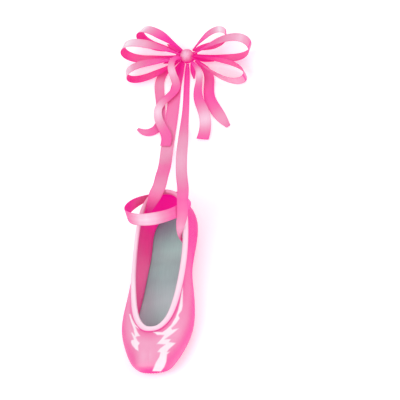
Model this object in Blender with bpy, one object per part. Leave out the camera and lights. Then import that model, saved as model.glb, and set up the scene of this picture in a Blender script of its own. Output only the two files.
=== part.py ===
"""A satin pointe shoe standing on its sole, with its ribbons laid out behind it and tied in a bow.

Metres, +Z up. The toe points along -Y and the heel along +Y. The origin is on the floor, in the middle of
the heel's flat spot. The last is straight, so the left half mirrors the right half.
"""

import math
from collections import namedtuple

import bmesh
import bpy
import numpy as np
from mathutils import Vector

MM = 0.001

# Driving sizes of the last
SHOE_LENGTH = 238 * MM
BALL_HALF_WIDTH = 44 * MM
HEEL_HEIGHT = 52 * MM
HEEL_REST = 32 * MM
NOSE_REACH = 8 * MM
PLATFORM_SOFTNESS = 2.6 * MM

# Walls and clearances
WALL = 1.8 * MM
BOX_WALL = 3.0 * MM
SEAT_GAP = 0.3 * MM

# Sole and insole
SOLE_THICKNESS = 2.8 * MM
SOLE_BEVEL = 0.7 * MM
SOLE_LAP = 5 * MM
ARCH_RISE = 4.5 * MM
TOE_SPRING = 2.4 * MM
INSOLE_THICKNESS = 2 * MM
INSOLE_BEVEL = 0.5 * MM
INSOLE_SETBACK = 10.5 * MM
INSOLE_TOE_SETBACK = 24 * MM
INSOLE_LIFT = 0.9 * MM

# Binding tape
BINDING_WIDTH = 5 * MM
BINDING_INSIDE = 4 * MM
BINDING_THICKNESS = 0.9 * MM
BINDING_GAP = 0.4 * MM

# Elastic ring
ELASTIC_WIDTH = 15.5 * MM
ELASTIC_THICKNESS = 1.2 * MM
ELASTIC_HALF_SPAN = 36.5 * MM
ELASTIC_REACH = 64 * MM
ELASTIC_RISE = 43 * MM
ELASTIC_SWING = 6 * MM
ELASTIC_SEAT_HEIGHT = 38.6 * MM
ELASTIC_SEAT_GAP = 0.6 * MM

# Ribbons and bow
RIBBON_WIDTH = 16 * MM
RIBBON_THICKNESS = 0.6 * MM
KNOT_RADIUS = 8.5 * MM
KNOT_CENTRE = Vector((-6, 248, 13)) * MM

# How finely the pieces are divided
HALF_SPOKES = 34
WALL_STEPS = 10
TURN_STEPS = 5
RING_STEPS = 56
LOOP_STEPS = 26

# Where the flat spots of the sole end, and the boxed toe begins, as shares of the length
HEEL_FLAT_END = 0.24
TREAD_START = 0.62
TREAD_END = 0.78
BOX_START = 0.52
BOX_END = 0.72

# How full the curve round the lower edge is, at the edge and at the opening underneath
EDGE_PULL = 0.7
UNDER_PULL = 0.72

# A round-edged band's cross-section, as shares of its half width and of its half thickness
BAND_CORNERS = ((-1, -0.4), (-0.97, 1), (0.97, 1), (1, 0.4), (0.97, -1), (-0.97, -1))

# Where the rings of a flat piece lie, as shares of the way from its middle to its rim
PLATE_RINGS = (0, 0.6, 1)

# One row for each section, from the middle of the heel round one side to the middle of the toe.
# back: shares of the shoe's length from the heel. side: shares of the ball's half width.
# rise, collar_height: shares of the heel's height. fall: degrees below level where the wall leaves the
# collar. lean: degrees from upright where it meets the lower edge. pulls: fullness of the wall's two ends.
Section = namedtuple(
    "Section",
    "edge_back edge_side collar_back collar_side sole_back sole_side "
    "rise collar_height fall lean top_pull low_pull",
)
SECTIONS = (
    Section(0.006, 0.000, 0.032, 0.000, 0.034, 0.000, 0.10, 1.00, 82, 18, 0.40, 0.40),
    Section(0.042, 0.445, 0.052, 0.345, 0.057, 0.330, 0.10, 0.99, 80, 20, 0.40, 0.40),
    Section(0.130, 0.710, 0.126, 0.591, 0.143, 0.477, 0.10, 0.94, 78, 26, 0.40, 0.40),
    Section(0.252, 0.735, 0.252, 0.689, 0.261, 0.409, 0.11, 0.87, 74, 36, 0.40, 0.40),
    Section(0.382, 0.730, 0.378, 0.709, 0.387, 0.352, 0.12, 0.81, 70, 44, 0.40, 0.40),
    Section(0.508, 0.800, 0.496, 0.682, 0.513, 0.500, 0.12, 0.78, 60, 42, 0.42, 0.40),
    Section(0.630, 0.910, 0.601, 0.620, 0.630, 0.693, 0.11, 0.755, 44, 34, 0.44, 0.42),
    Section(0.744, 0.930, 0.689, 0.534, 0.723, 0.739, 0.11, 0.745, 32, 28, 0.46, 0.45),
    Section(0.849, 0.765, 0.752, 0.420, 0.807, 0.614, 0.12, 0.74, 25, 24, 0.46, 0.48),
    Section(0.938, 0.525, 0.790, 0.277, 0.857, 0.364, 0.13, 0.74, 19, 22, 0.46, 0.50),
    Section(0.982, 0.295, 0.807, 0.141, 0.878, 0.170, 0.14, 0.74, 15, 20, 0.46, 0.50),
    Section(1.000, 0.000, 0.811, 0.000, 0.882, 0.000, 0.14, 0.74, 13, 20, 0.46, 0.50),
)

# A ribbon's route in millimetres, chosen by hand. roll: degrees that the ribbon is turned about its own
# route, from lying flat. width: its share of the full width, less where it is folded or gathered.
Stop = namedtuple("Stop", "x y z roll width")
RIBBON_LEFT = (
    Stop(-26, 1, 27, -30, 0.34),
    Stop(-22.8, 2.6, 35.5, -52, 0.4),
    Stop(-18.4, 4.4, 44.8, -68, 0.48),
    Stop(-12.8, 7.2, 53.2, -54, 0.72),
    Stop(-8.4, 14, 58.2, -26, 0.95),
    Stop(-5.4, 22.7, 58.4, -15, 1),
    Stop(-5.6, 43.1, 51, -14, 1),
    Stop(-10, 68, 34, -12, 1),
    Stop(-15.9, 92.8, 16, -8, 1),
    Stop(-19.9, 112.2, 5, -3, 1),
    Stop(-21, 127.7, 1.5, 0, 1),
    Stop(-20.6, 148.3, 1.2, 0, 1),
    Stop(-20.1, 170.2, 1.2, 0, 1),
    Stop(-20, 195.1, 1.2, 0, 0.95),
    Stop(-18.6, 217, 1.4, 0, 0.78),
    Stop(-14.4, 234.1, 3.8, 0, 0.5),
    Stop(-10.4, 240.9, 8.4, 0, 0.22),
)
RIBBON_RIGHT = (
    Stop(28.4, -45, 29, 100, 0.26),
    Stop(26.6, -41.5, 36, 104, 0.38),
    Stop(25.2, -37.2, 46, 110, 0.5),
    Stop(27.8, -30, 57, 126, 0.66),
    Stop(33.4, -22.8, 70.6, 145, 0.8),
    Stop(35.3, -12, 80, 160, 0.84),
    Stop(33.5, 4.1, 78, 164, 0.86),
    Stop(26, 30.3, 66, 165, 0.86),
    Stop(15.7, 65.6, 46, 168, 0.86),
    Stop(6.6, 100.7, 25, 172, 0.86),
    Stop(0.3, 130.1, 9, 177, 0.8),
    Stop(-2.7, 153.1, 2.4, 180, 0.66),
    Stop(-3.7, 176, 1.2, 180, 0.54),
    Stop(-5.2, 199.6, 1.2, 180, 0.48),
    Stop(-6.6, 221.5, 1.6, 180, 0.44),
    Stop(-6.6, 234.4, 4.4, 180, 0.34),
    Stop(-5.7, 239.7, 8.2, 180, 0.22),
)
BOW_TAILS = (
    (
        Stop(-11.4, 241.7, 17.2, 10, 0.22),
        Stop(-15.7, 241.1, 20.5, 12, 0.32),
        Stop(-20.7, 237.3, 20.5, 14, 0.45),
        Stop(-23.3, 229.5, 15, 16, 0.56),
        Stop(-20.3, 219.3, 9, 10, 0.6),
        Stop(-17.8, 208.8, 5.6, 4, 0.66),
        Stop(-26.6, 194.2, 5, 0, 0.66),
        Stop(-37, 180.5, 4.6, 4, 0.62),
        Stop(-35.8, 164.4, 4.4, 4, 0.64),
        Stop(-28, 147.7, 4.2, 0, 0.74),
        Stop(-22.7, 134.9, 4, 0, 0.82),
        Stop(-23.2, 123.7, 3.4, 0, 0.84),
    ),
    (
        Stop(-15.4, 245.4, 9.4, 0, 0.25),
        Stop(-26.4, 240.4, 5, 0, 0.42),
        Stop(-36.4, 232.8, 2.4, 0, 0.66),
        Stop(-41, 220.7, 1.3, 0, 0.75),
        Stop(-39.8, 205.9, 1.2, 0, 0.75),
        Stop(-36.9, 189.4, 1.2, 0, 0.7),
        Stop(-34.2, 173, 1.2, 0, 0.68),
        Stop(-34.9, 158.4, 1.2, 0, 0.72),
        Stop(-40.3, 149.4, 1.2, 0, 0.78),
        Stop(-50.8, 147.2, 1.6, 0, 0.6),
        Stop(-61.6, 152.7, 2.6, 0, 0.22),
    ),
    (
        Stop(1.6, 237.1, 14.8, -6, 0.22),
        Stop(6.8, 231, 15, -10, 0.34),
        Stop(11.6, 223, 12, -14, 0.5),
        Stop(12, 212, 8.6, -14, 0.62),
        Stop(10.9, 200.5, 6.2, -10, 0.7),
        Stop(13.2, 186.5, 4.8, -4, 0.76),
        Stop(19.6, 171.7, 4.2, 0, 0.84),
        Stop(24.3, 155.1, 4.2, 0, 0.9),
        Stop(25, 140.7, 3.9, 0, 0.95),
        Stop(23.2, 129.3, 3.2, 0, 1),
    ),
    (
        Stop(4.5, 242.4, 9.4, 0, 0.25),
        Stop(13.3, 235.7, 5, 0, 0.45),
        Stop(20.8, 224.2, 2.4, 0, 0.72),
        Stop(22.8, 207.1, 1.3, 0, 0.82),
        Stop(25.4, 190.7, 1.2, 0, 0.86),
        Stop(34.2, 173.8, 1.2, 0, 0.9),
        Stop(44.1, 158.9, 1.3, 0, 0.78),
        Stop(53.8, 146.1, 1.6, 0, 0.34),
    ),
)

# The bow's loops. far: the middle of the loop's far end, in millimetres from the knot's centre.
# swell: the loop's height across its axis. lean: degrees that the axis of its hole stands above the floor.
# step: how far along that axis it leaves the knot's middle, as a share of the knot's radius.
Loop = namedtuple("Loop", "name far swell lean step")
BOW_LOOPS = (
    Loop("bow_loop_left_back", (-61.5, 35.1, 8), 20, 20, -0.54),
    Loop("bow_loop_left_middle", (-81.1, 12.3, 8), 23, 20, -0.04),
    Loop("bow_loop_left_front", (-73.8, -24, 2), 19, 20, 0.46),
    Loop("bow_loop_right_back", (49.4, 23.6, 10), 18, 20, -0.54),
    Loop("bow_loop_right_middle", (82.3, 1, 11), 29, 20, -0.04),
    Loop("bow_loop_right_front", (76.4, -38.4, -1.5), 21, 84, 0.46),
)
LOOP_END_SPREAD = 0.55 * MM
GATHER_LENGTH = 0.2
GATHERED_WIDTH = 0.2


def smoothstep(low, high, value):
    share = np.clip((value - low) / (high - low), 0, 1)
    return share * share * (3 - 2 * share)


def spline(knots, values, flat_ends):
    """A smooth curve through the values, level at its two ends or else straight there."""
    knots = np.asarray(knots, float)
    values = np.asarray(values, float)
    gaps = np.diff(knots)
    slopes = np.diff(values) / gaps
    system = np.zeros((len(knots), len(knots)))
    wanted = np.zeros(len(knots))
    for i in range(1, len(knots) - 1):
        system[i, i - 1 : i + 2] = gaps[i - 1], 2 * (gaps[i - 1] + gaps[i]), gaps[i]
        wanted[i] = 6 * (slopes[i] - slopes[i - 1])
    if flat_ends:
        system[0, :2] = 2 * gaps[0], gaps[0]
        system[-1, -2:] = gaps[-1], 2 * gaps[-1]
        wanted[0] = 6 * slopes[0]
        wanted[-1] = -6 * slopes[-1]
    else:
        system[0, 0] = 1
        system[-1, -1] = 1
    bends = np.linalg.solve(system, wanted)

    def at(place):
        i = np.clip(np.searchsorted(knots, place, side="right") - 1, 0, len(gaps) - 1)
        before = place - knots[i]
        after = knots[i + 1] - place
        gap = gaps[i]
        curved = bends[i] * after**3 + bends[i + 1] * before**3
        first = (values[i] / gap - bends[i] * gap / 6) * after
        second = (values[i + 1] / gap - bends[i + 1] * gap / 6) * before
        return curved / (6 * gap) + first + second

    return at


def column(name, unit, odd=False):
    """A column of the sections as a smooth function of the turn, in metres or degrees."""
    values = [getattr(section, name) * unit for section in SECTIONS]
    return spline(np.linspace(0, 1, len(SECTIONS)), values, flat_ends=not odd)


# The nose runs past the shoe's end, and the platform is pressed flat across it
LAST_LENGTH = SHOE_LENGTH + NOSE_REACH
edge_back = column("edge_back", LAST_LENGTH)
edge_side = column("edge_side", BALL_HALF_WIDTH, odd=True)
collar_back = column("collar_back", SHOE_LENGTH)
collar_side = column("collar_side", BALL_HALF_WIDTH, odd=True)
sole_back = column("sole_back", SHOE_LENGTH)
sole_side = column("sole_side", BALL_HALF_WIDTH, odd=True)
edge_rise = column("rise", HEEL_HEIGHT)
collar_height = column("collar_height", HEEL_HEIGHT)
collar_fall = column("fall", math.pi / 180)
edge_lean = column("lean", math.pi / 180)
top_pull = column("top_pull", 1)
low_pull = column("low_pull", 1)


def sole_height(back):
    """Underside of the outsole above the floor: flat heel, arch, flat tread and toe spring."""
    arch_start = HEEL_FLAT_END * SHOE_LENGTH
    arch_end = TREAD_START * SHOE_LENGTH
    tread_end = TREAD_END * SHOE_LENGTH
    across = np.clip((back - arch_start) / (arch_end - arch_start), 0, 1)
    past = np.clip((back - tread_end) / (SHOE_LENGTH - tread_end), 0, 1)
    return ARCH_RISE * np.sin(math.pi * across) ** 2 + TOE_SPRING * past**2


def under_height(back):
    """Underside of the upper, just above the outsole."""
    return sole_height(back) + SOLE_THICKNESS + SEAT_GAP


def press_platform(points, limit):
    """Points past the platform's plane are pressed back onto it, with a soft edge."""
    back = points[..., 1]
    past = np.log1p(np.exp((limit - back) / PLATFORM_SOFTNESS))
    return np.stack([points[..., 0], limit - PLATFORM_SOFTNESS * past, points[..., 2]], axis=-1)


def plan_normal(back, side, half):
    """Outward direction of a plan outline at each half turn, level."""
    step = 1e-4
    ahead = np.minimum(half + step, 1)
    behind = np.maximum(half - step, 0)
    run_back = back(ahead) - back(behind)
    run_side = side(ahead) - side(behind)
    length = np.hypot(run_back, run_side)
    return np.stack([run_back / length, -run_side / length, np.zeros_like(half)], axis=-1)


def bezier(a, b, c, d, share):
    rest = 1 - share
    return rest**3 * a + 3 * rest**2 * share * b + 3 * rest * share**2 * c + share**3 * d


def outer_surface(turn, down):
    """Outside of the upper. turn: 0 to 1 on the right side and 1 to 2 on the left, from heel to toe and
    back. down: 0 at the collar, 1 at the lower edge and 2 at the edge of the opening underneath."""
    turn, down = np.broadcast_arrays(np.mod(turn, 2.0), np.asarray(down, float))
    half = np.where(turn <= 1, turn, 2 - turn)
    up = np.array([0.0, 0.0, 1.0])

    def place(back, side, height):
        return np.stack([side, back, height], axis=-1)

    edge = edge_back(half)
    sole = place(sole_back(half), sole_side(half), np.zeros_like(half))
    sole_out = plan_normal(sole_back, sole_side, half)
    opening = sole - SOLE_LAP * sole_out
    opening[..., 2] = under_height(opening[..., 1])
    collar = place(collar_back(half), collar_side(half), collar_height(half))
    low = place(edge, edge_side(half), under_height(edge) + edge_rise(half))
    collar_out = plan_normal(collar_back, collar_side, half)
    low_out = plan_normal(edge_back, edge_side, half)
    span = np.linalg.norm(collar - low, axis=-1)[..., None]
    fall = collar_fall(half)[..., None]
    lean = edge_lean(half)[..., None]
    leaving = np.cos(fall) * collar_out - np.sin(fall) * up
    arriving = np.sin(lean) * low_out + np.cos(lean) * up
    wall = bezier(
        collar,
        collar + top_pull(half)[..., None] * span * leaving,
        low + low_pull(half)[..., None] * span * arriving,
        low,
        np.clip(down, 0, 1)[..., None],
    )
    reach = np.linalg.norm((low - opening)[..., :2], axis=-1)[..., None]
    inward = opening + UNDER_PULL * reach * sole_out
    inward[..., 2] = under_height(inward[..., 1])
    turned = bezier(
        low,
        low - EDGE_PULL * edge_rise(half)[..., None] * arriving,
        inward,
        opening,
        np.clip(down - 1, 0, 1)[..., None],
    )
    points = press_platform(np.where(down[..., None] <= 1, wall, turned), SHOE_LENGTH)
    points[..., 0] *= np.where(turn <= 1, 1, -1)
    points[..., 1] = HEEL_REST - points[..., 1]
    return points


def outer_normal(turn, down):
    """Outward direction of the upper's outside."""
    step = 2e-4
    low = np.clip(np.asarray(down, float) - step, 0, 2)
    high = np.clip(np.asarray(down, float) + step, 0, 2)
    along = outer_surface(turn + step, down) - outer_surface(turn - step, down)
    across = outer_surface(turn, high) - outer_surface(turn, low)
    normal = np.cross(along, across)
    return normal / np.linalg.norm(normal, axis=-1)[..., None]


def wall_thickness(turn, down):
    """The satin's wall, thicker in the stiff box."""
    half = np.where(np.mod(turn, 2.0) <= 1, np.mod(turn, 2.0), 2 - np.mod(turn, 2.0))
    down = np.asarray(down, float)
    upright = smoothstep(0, 0.35, down) * (1 - smoothstep(0.65, 1.0, down))
    return WALL + (BOX_WALL - WALL) * smoothstep(BOX_START, BOX_END, half) * upright


def spoke_turns():
    return np.arange(2 * HALF_SPOKES) / HALF_SPOKES


def material(name, colour, roughness, coat=0.0):
    """A plain finish from a display colour of 0 to 255 a channel."""
    made = bpy.data.materials.new(name)
    made.use_nodes = True
    shader = made.node_tree.nodes["Principled BSDF"]
    linear = [((c / 255 + 0.055) / 1.055) ** 2.4 for c in colour]
    shader.inputs["Base Color"].default_value = (*linear, 1)
    shader.inputs["Roughness"].default_value = roughness
    shader.inputs["Metallic"].default_value = 0
    shader.inputs["Coat Weight"].default_value = coat
    return made


def add_object(name, mesh_builder, finish):
    """Turns a bmesh into a smooth-shaded object with its own material."""
    bmesh.ops.remove_doubles(mesh_builder, verts=mesh_builder.verts, dist=1e-7)
    bmesh.ops.recalc_face_normals(mesh_builder, faces=mesh_builder.faces)
    mesh = bpy.data.meshes.new(name)
    mesh_builder.to_mesh(mesh)
    mesh_builder.free()
    mesh.shade_smooth()
    mesh.set_sharp_from_angle(angle=math.radians(40))
    mesh.materials.append(finish)
    made = bpy.data.objects.new(name, mesh)
    bpy.context.scene.collection.objects.link(made)
    return made


def loft(name, rings, finish, ends="open", twisted=False):
    """Joins rings of points, each as long as the next. ends: open, joined or capped. The quads of a twisted
    band are split the same way on its two faces, so that its thickness stays the same between them."""
    builder = bmesh.new()
    verts = [[builder.verts.new(point) for point in ring] for ring in rings]
    pairs = list(zip(verts, verts[1:]))
    if ends == "joined":
        pairs.append((verts[-1], verts[0]))
    size = len(rings[0])
    for first, second in pairs:
        for i in range(size):
            j = (i + 1) % size
            if not twisted:
                builder.faces.new((first[i], first[j], second[j], second[i]))
            elif i < size / 2:
                builder.faces.new((first[i], first[j], second[j]))
                builder.faces.new((first[i], second[j], second[i]))
            else:
                builder.faces.new((first[i], first[j], second[i]))
                builder.faces.new((first[j], second[j], second[i]))
    if ends == "capped":
        builder.faces.new(verts[0][::-1])
        builder.faces.new(verts[-1])
    return add_object(name, builder, finish)


def make_upper(finish):
    """One hollow wall, open at the collar and underneath."""
    turns = spoke_turns()[:, None]
    downs = np.concatenate([np.linspace(0, 1, WALL_STEPS + 1), 1 + np.linspace(0, 1, TURN_STEPS + 1)[1:]])
    outside = outer_surface(turns, downs)
    normal = outer_normal(turns, downs)
    inside = outside - normal * wall_thickness(turns, downs)[..., None]
    section = np.concatenate([outside, inside[:, ::-1]], axis=1)
    return loft("upper", section, finish, ends="joined")


def plate(name, outline, under, over, bevel, spine, finish):
    """A flat piece with an outline of spoke points, following one height below and one above."""
    back = HEEL_REST - outline[:, 1]
    centre = np.stack([np.zeros_like(back), np.clip(back, *spine)], axis=-1)
    rim = np.stack([outline[:, 0], back], axis=-1)
    away = (rim - centre) / np.linalg.norm(rim - centre, axis=-1)[:, None]

    def ring(share, inset, height, offset):
        flat = centre + (rim - inset * away - centre) * share
        return [(x, HEEL_REST - s, height(s) + offset) for x, s in flat]

    rings = [ring(share, bevel, under, 0) for share in PLATE_RINGS]
    rings += [ring(1, 0, under, bevel), ring(1, 0, over, -bevel)]
    rings += [ring(share, bevel, over, 0) for share in PLATE_RINGS[::-1]]
    return loft(name, rings, finish)


def make_outsole(finish):
    """Thin leather sole: round heel, narrow waist, wide tread, ending short of the platform."""
    turns = spoke_turns()
    half = np.where(turns <= 1, turns, 2 - turns)
    side = sole_side(half) * np.where(turns <= 1, 1, -1)
    outline = np.stack([side, HEEL_REST - sole_back(half)], axis=-1)
    spine = (sole_back(0.0) + SOLE_LAP * 3, sole_back(1.0) - SOLE_LAP * 3)
    return plate(
        "outsole",
        outline,
        sole_height,
        lambda s: sole_height(s) + SOLE_THICKNESS,
        SOLE_BEVEL,
        spine,
        finish,
    )


def insole_height(back):
    return under_height(back) + WALL + SEAT_GAP + INSOLE_LIFT


def make_insole(finish):
    """Thin board lying on the turned-in edge, inside the wall all round."""
    turns = spoke_turns()
    half = np.where(turns <= 1, turns, 2 - turns)
    out = plan_normal(edge_back, edge_side, half)
    edge = np.stack([edge_side(half), edge_back(half), np.zeros_like(half)], axis=-1)
    pressed = press_platform(edge - INSOLE_SETBACK * out, SHOE_LENGTH - INSOLE_TOE_SETBACK)
    pressed[:, 0] *= np.where(turns <= 1, 1, -1)
    pressed[:, 1] = HEEL_REST - pressed[:, 1]
    heel_end = HEEL_REST - pressed[0, 1]
    toe_end = HEEL_REST - pressed[HALF_SPOKES, 1]
    spine = (heel_end + INSOLE_SETBACK * 2, toe_end - INSOLE_SETBACK * 2)
    return plate(
        "insole",
        pressed[:, :2],
        insole_height,
        lambda s: insole_height(s) + INSOLE_THICKNESS,
        INSOLE_BEVEL,
        spine,
        finish,
    )


def down_at_distance(turn, distance):
    """How far down the wall a length of tape reaches from the collar."""
    downs = np.linspace(0, 0.6, 61)
    line = outer_surface(turn, downs)
    lengths = np.concatenate([[0], np.cumsum(np.linalg.norm(np.diff(line, axis=0), axis=1))])
    return np.interp(distance, lengths, downs)


def binding_section(turn):
    """The tape's cross-section over the collar's edge, from the upper's own surface."""
    clear = BINDING_GAP
    far = BINDING_GAP + BINDING_THICKNESS

    def on(distance, depth):
        down = down_at_distance(turn, distance)
        return outer_surface(turn, down) - depth * outer_normal(turn, down)

    edge = outer_surface(turn, 0.0)
    out = outer_normal(turn, 0.0)
    down_step = outer_surface(turn, 0.02) - edge
    up = -down_step / np.linalg.norm(down_step)
    return [
        on(BINDING_WIDTH, -far),
        on(BINDING_WIDTH / 2, -far),
        edge + far * out,
        edge - 0.2 * WALL * out + far * up,
        edge - 0.8 * WALL * out + far * up,
        edge - (WALL + far) * out,
        on(BINDING_INSIDE, WALL + far),
        on(BINDING_INSIDE, WALL + clear),
        edge - (WALL + clear) * out,
        edge - (WALL + clear) * out + clear * up,
        edge + clear * out + clear * up,
        on(BINDING_WIDTH / 2, -clear),
        on(BINDING_WIDTH, -clear),
    ]


def make_binding(finish):
    sections = [binding_section(turn) for turn in spoke_turns()]
    return loft("binding", sections, finish, ends="joined")


def heel_back_at(height):
    """How far back the upper's outside reaches on its middle line, at a height."""
    line = outer_surface(0.0, np.linspace(0, 1, 101))
    return np.interp(height, line[::-1, 2], line[::-1, 1])


def heel_slope():
    """How far forward the heel's back leans over the height of the elastic sewn to it."""
    below = heel_back_at(ELASTIC_SEAT_HEIGHT - ELASTIC_WIDTH / 2)
    above = heel_back_at(ELASTIC_SEAT_HEIGHT + ELASTIC_WIDTH / 2)
    return below - above


def elastic_centre(angle):
    """The elastic's middle line: from the back of the heel, up and forward over the opening."""
    seat = heel_back_at(ELASTIC_SEAT_HEIGHT) + ELASTIC_SEAT_GAP + ELASTIC_THICKNESS / 2
    along = (1 - math.cos(angle)) / 2
    return Vector(
        (
            ELASTIC_HALF_SPAN * math.sin(angle) - ELASTIC_SWING * along,
            seat - ELASTIC_REACH * along,
            ELASTIC_SEAT_HEIGHT + ELASTIC_RISE * along,
        )
    )


def make_elastic_loop(finish):
    """A woven band sewn flat on the heel's back, tilting square to its own slope over the opening."""
    sections = []
    square = Vector((0, ELASTIC_RISE, ELASTIC_REACH)).normalized()
    sewn = Vector((0, -heel_slope(), ELASTIC_WIDTH)).normalized()
    for i in range(RING_STEPS):
        angle = 2 * math.pi * i / RING_STEPS
        centre = elastic_centre(angle)
        tangent = (elastic_centre(angle + 0.01) - elastic_centre(angle - 0.01)).normalized()
        across = sewn.lerp(square, (1 - math.cos(angle)) / 2)
        across = (across - across.dot(tangent) * tangent).normalized()
        out = tangent.cross(across)
        half_width = ELASTIC_WIDTH / 2
        half_thick = ELASTIC_THICKNESS / 2
        sections.append([centre + across * half_width * a + out * half_thick * b for a, b in BAND_CORNERS])
    return loft("elastic_loop", sections, finish, ends="joined")


def strip(name, centres, acrosses, half_widths, finish):
    """A ribbon swept along its centres, as wide as it is there, with square ends."""
    sections = []
    last = len(centres) - 1
    for i, centre in enumerate(centres):
        tangent = (centres[min(i + 1, last)] - centres[max(i - 1, 0)]).normalized()
        across = (acrosses[i] - acrosses[i].dot(tangent) * tangent).normalized()
        face = tangent.cross(across)
        wide = across * half_widths[i]
        thick = face * (RIBBON_THICKNESS / 2)
        sections.append(
            [centre - wide - thick, centre + wide - thick, centre + wide + thick, centre - wide + thick]
        )
    return loft(name, sections, finish, ends="capped", twisted=True)


def make_ribbon(name, stops, steps_between, finish):
    """A ribbon along one smooth curve through its stops."""
    lengths = [0.0]
    for a, b in zip(stops, stops[1:]):
        lengths.append(lengths[-1] + math.dist(a[:3], b[:3]) * MM)
    curves = [spline(lengths, [stop[k] for stop in stops], flat_ends=False) for k in range(5)]
    places = np.linspace(0, lengths[-1], (len(stops) - 1) * steps_between + 1)
    values = np.stack([curve(places) for curve in curves], axis=-1)
    centres = [Vector(row[:3]) * MM for row in values]
    acrosses = []
    last = len(centres) - 1
    for i, row in enumerate(values):
        tangent = (centres[min(i + 1, last)] - centres[max(i - 1, 0)]).normalized()
        level = tangent.cross(Vector((0, 0, 1))).normalized()
        upright = level.cross(tangent)
        roll = math.radians(row[3])
        acrosses.append(level * math.cos(roll) + upright * math.sin(roll))
    half_widths = [row[4] * RIBBON_WIDTH / 2 for row in values]
    return strip(name, centres, acrosses, half_widths, finish)


def make_bow_loop(loop, finish):
    """A teardrop loop of ribbon from the knot and back to it, its ends gathered narrow."""
    far = KNOT_CENTRE + Vector(loop.far) * MM
    lean = math.radians(loop.lean)
    hole = Vector((0, -math.cos(lean), math.sin(lean)))
    leaving = (far - KNOT_CENTRE).normalized()
    inner_edge = max(abs(loop.step) * KNOT_RADIUS - GATHERED_WIDTH * RIBBON_WIDTH / 2, 0)
    slant = math.copysign(inner_edge, loop.step) * hole.dot(leaving)
    reach = math.sqrt(slant**2 + (KNOT_RADIUS + SEAT_GAP) ** 2 - inner_edge**2) - slant
    near = KNOT_CENTRE + hole * loop.step * KNOT_RADIUS + leaving * reach
    axis = (far - near).normalized()
    hole = (hole - hole.dot(axis) * axis).normalized()
    rise = hole.cross(axis) * (1 if axis.x < 0 else -1)
    centres = []
    half_widths = []
    for i in range(LOOP_STEPS + 1):
        share = i / LOOP_STEPS
        out = (far - near).length * math.sin(math.pi * share)
        height = -loop.swell / 2 * MM * math.sin(2 * math.pi * share)
        height -= LOOP_END_SPREAD * math.cos(math.pi * share)
        centres.append(near + axis * out + rise * height)
        gathered = smoothstep(0, GATHER_LENGTH, min(share, 1 - share))
        half_widths.append(RIBBON_WIDTH / 2 * (GATHERED_WIDTH + (1 - GATHERED_WIDTH) * gathered))
    return strip(loop.name, centres, [hole] * len(centres), half_widths, finish)


def make_knot(finish):
    builder = bmesh.new()
    bmesh.ops.create_uvsphere(builder, u_segments=20, v_segments=12, radius=KNOT_RADIUS)
    bmesh.ops.translate(builder, verts=builder.verts, vec=KNOT_CENTRE)
    return add_object("bow_knot", builder, finish)


def clear_scene():
    for thing in list(bpy.data.objects):
        bpy.data.objects.remove(thing, do_unlink=True)


def build_shoe():
    satin = material("satin", (244, 150, 195), 0.3, coat=0.3)
    leather = material("sole leather", (214, 178, 150), 0.75)
    board = material("insole cloth", (160, 163, 167), 0.8)
    tape = material("binding tape", (253, 205, 234), 0.4)
    elastic = material("elastic weave", (247, 165, 205), 0.7)
    ribbon = material("ribbon satin", (240, 125, 180), 0.35, coat=0.2)
    make_upper(satin)
    make_outsole(leather)
    make_insole(board)
    make_binding(tape)
    make_elastic_loop(elastic)
    make_ribbon("ribbon_left", RIBBON_LEFT, 2, ribbon)
    make_ribbon("ribbon_right", RIBBON_RIGHT, 2, ribbon)
    for loop in BOW_LOOPS:
        make_bow_loop(loop, ribbon)
    for number, stops in enumerate(BOW_TAILS, start=1):
        make_ribbon(f"bow_tail_{number}", stops, 2, ribbon)
    make_knot(ribbon)


clear_scene()
build_shoe()
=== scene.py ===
import math
from collections import namedtuple
from math import pi

import bmesh
import bpy
import numpy as np
from mathutils import Matrix, Vector


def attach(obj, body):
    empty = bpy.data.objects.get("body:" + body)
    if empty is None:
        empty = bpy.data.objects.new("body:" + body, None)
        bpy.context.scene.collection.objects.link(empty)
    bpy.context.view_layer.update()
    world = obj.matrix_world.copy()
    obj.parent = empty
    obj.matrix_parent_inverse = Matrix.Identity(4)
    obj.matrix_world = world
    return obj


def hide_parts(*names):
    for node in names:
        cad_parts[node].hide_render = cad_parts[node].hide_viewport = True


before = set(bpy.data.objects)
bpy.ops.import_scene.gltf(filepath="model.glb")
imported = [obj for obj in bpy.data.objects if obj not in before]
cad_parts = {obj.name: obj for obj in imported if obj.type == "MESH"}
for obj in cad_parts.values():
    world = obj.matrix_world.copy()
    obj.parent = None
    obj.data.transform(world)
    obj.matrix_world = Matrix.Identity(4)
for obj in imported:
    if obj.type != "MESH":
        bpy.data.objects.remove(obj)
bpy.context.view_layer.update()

# A satin pointe shoe standing on a floor, its ribbons laid out behind it and tied in a bow.
# Toe towards -Y, heel towards +Y, and places are in millimetres until a mesh is made.
mm = 0.001
print("frame loaded:", len(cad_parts), "nodes")


# Camera, floor and light

studio = {
    "azimuth": 27.8, "elevation": 52.0, "roll": -27.1,  # degrees
    "aim": (24.2, 49.9, -9.8),  # a point on the view's axis
    "picture": 400, "pixel": 1.2,  # pixels, and what one covers
    "lens": 600, "sensor": 36,
    "floor": 14000, "floorTone": 0.93, "floorGlow": 0.3, "floorRoughness": 0.85,
    "sky": 0.65, "lit": (0, -20, 20),  # the lights look at this place
}
lights = {  # place, size and power
    "key": ((-900, -1100, 1700), 1500, 16),
    "fill": ((1500, -500, 900), 1400, 7.5),
    "rim": ((300, 1500, 1300), 1000, 6),
}


def addObject(name, data):
    thing = bpy.data.objects.new(name, data)
    bpy.context.scene.collection.objects.link(thing)
    return thing


def meshOf(name, builder):
    mesh = bpy.data.meshes.new(name)
    builder.to_mesh(mesh)
    builder.free()
    return mesh


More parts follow.
